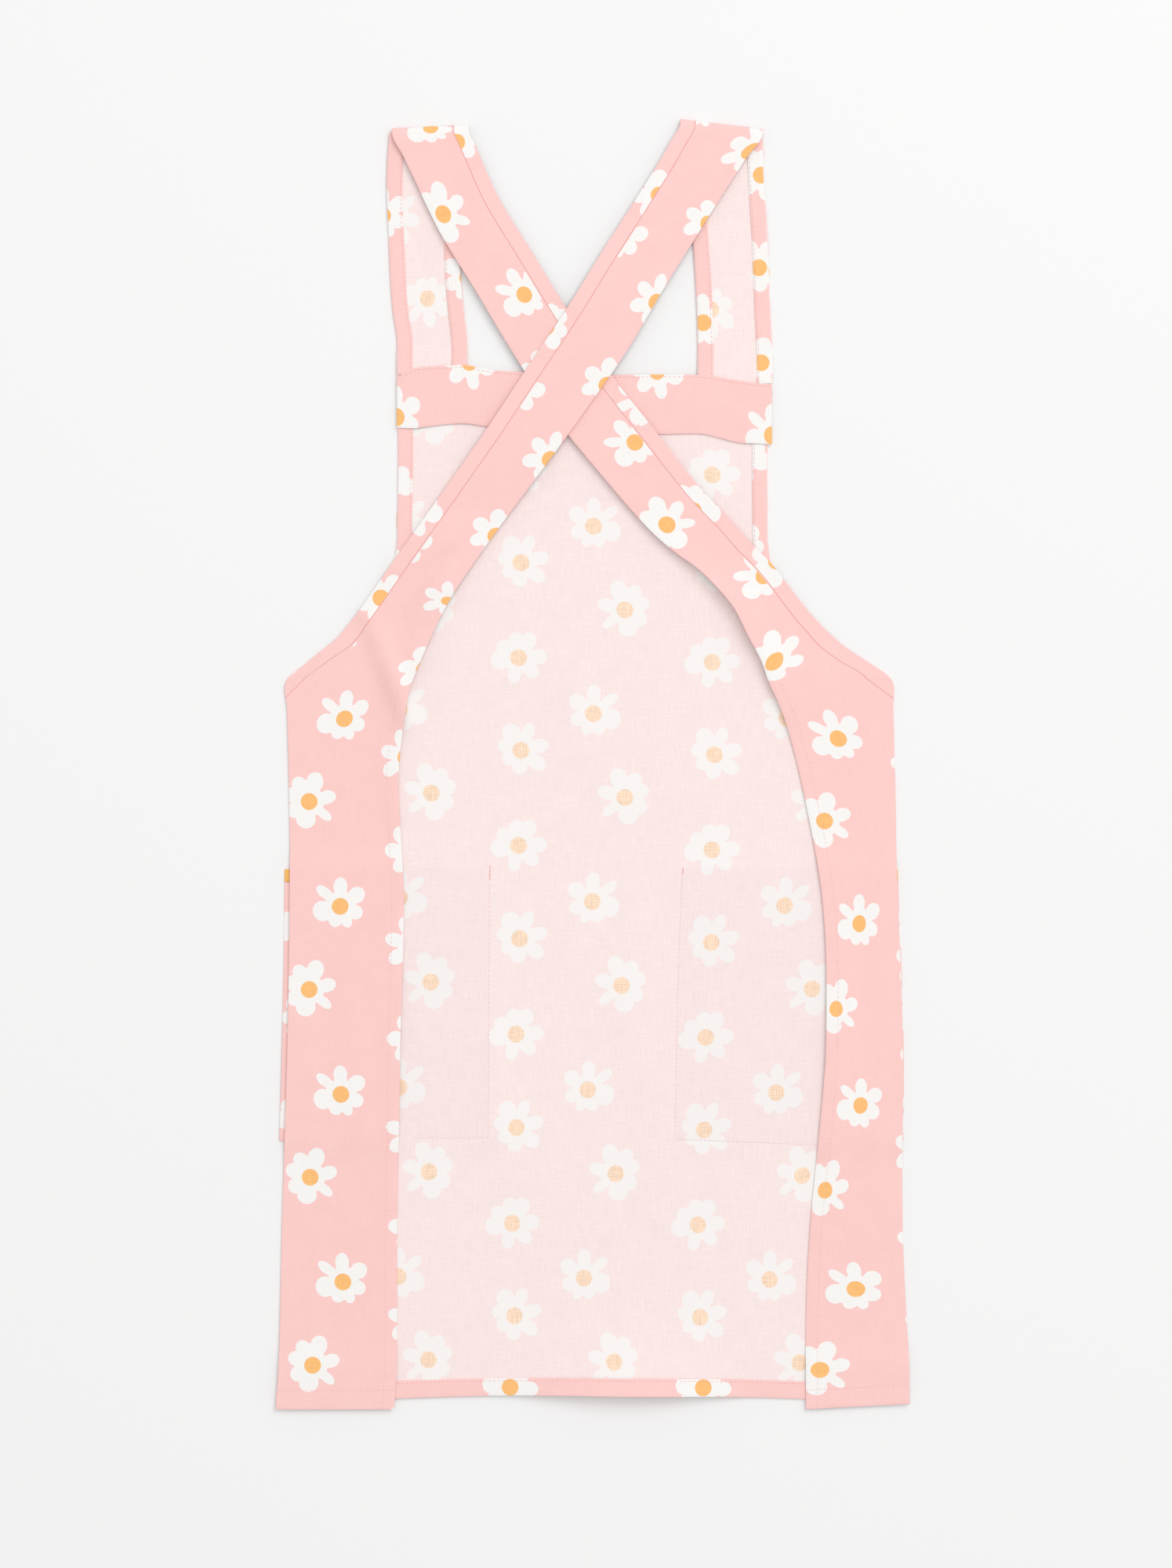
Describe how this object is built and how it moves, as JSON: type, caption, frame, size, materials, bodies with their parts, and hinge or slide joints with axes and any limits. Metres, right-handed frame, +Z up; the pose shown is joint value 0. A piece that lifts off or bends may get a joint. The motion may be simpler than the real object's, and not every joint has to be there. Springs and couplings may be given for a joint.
{
  "type": "cross back apron",
  "caption": "Child's cross back pinafore apron in printed cloth, laid front face down, with crossed straps, bib facing and two patch pockets.",
  "frame": {"origin": "on the surface that the apron lies on, under the middle of its box", "axes": "+Y from the hem to the shoulder folds, +X to the right seen from above with the back up, +Z up off the surface"},
  "size_m": [0.3476, 0.7072, 0.008],
  "materials": {
    "printed_cloth": "matte",
    "cloth_wrong_side": "matte",
    "mustard_binding": "matte"
  },
  "bodies": {
    "root": {"front_panel": "cloth_wrong_side", "back_panel_left": "printed_cloth", "back_panel_right": "printed_cloth", "bib_facing": "printed_cloth", "front_hem": "printed_cloth", "bib_hem_left": "printed_cloth", "bib_hem_right": "printed_cloth", "strap_hem_left_neck": "printed_cloth", "strap_hem_left_arm": "printed_cloth", "strap_hem_right_neck": "printed_cloth", "strap_hem_right_arm": "printed_cloth", "pocket_left": "printed_cloth", "pocket_right": "printed_cloth", "pocket_trim_left": "mustard_binding", "pocket_trim_right": "mustard_binding"}
  },
  "joints": []
}
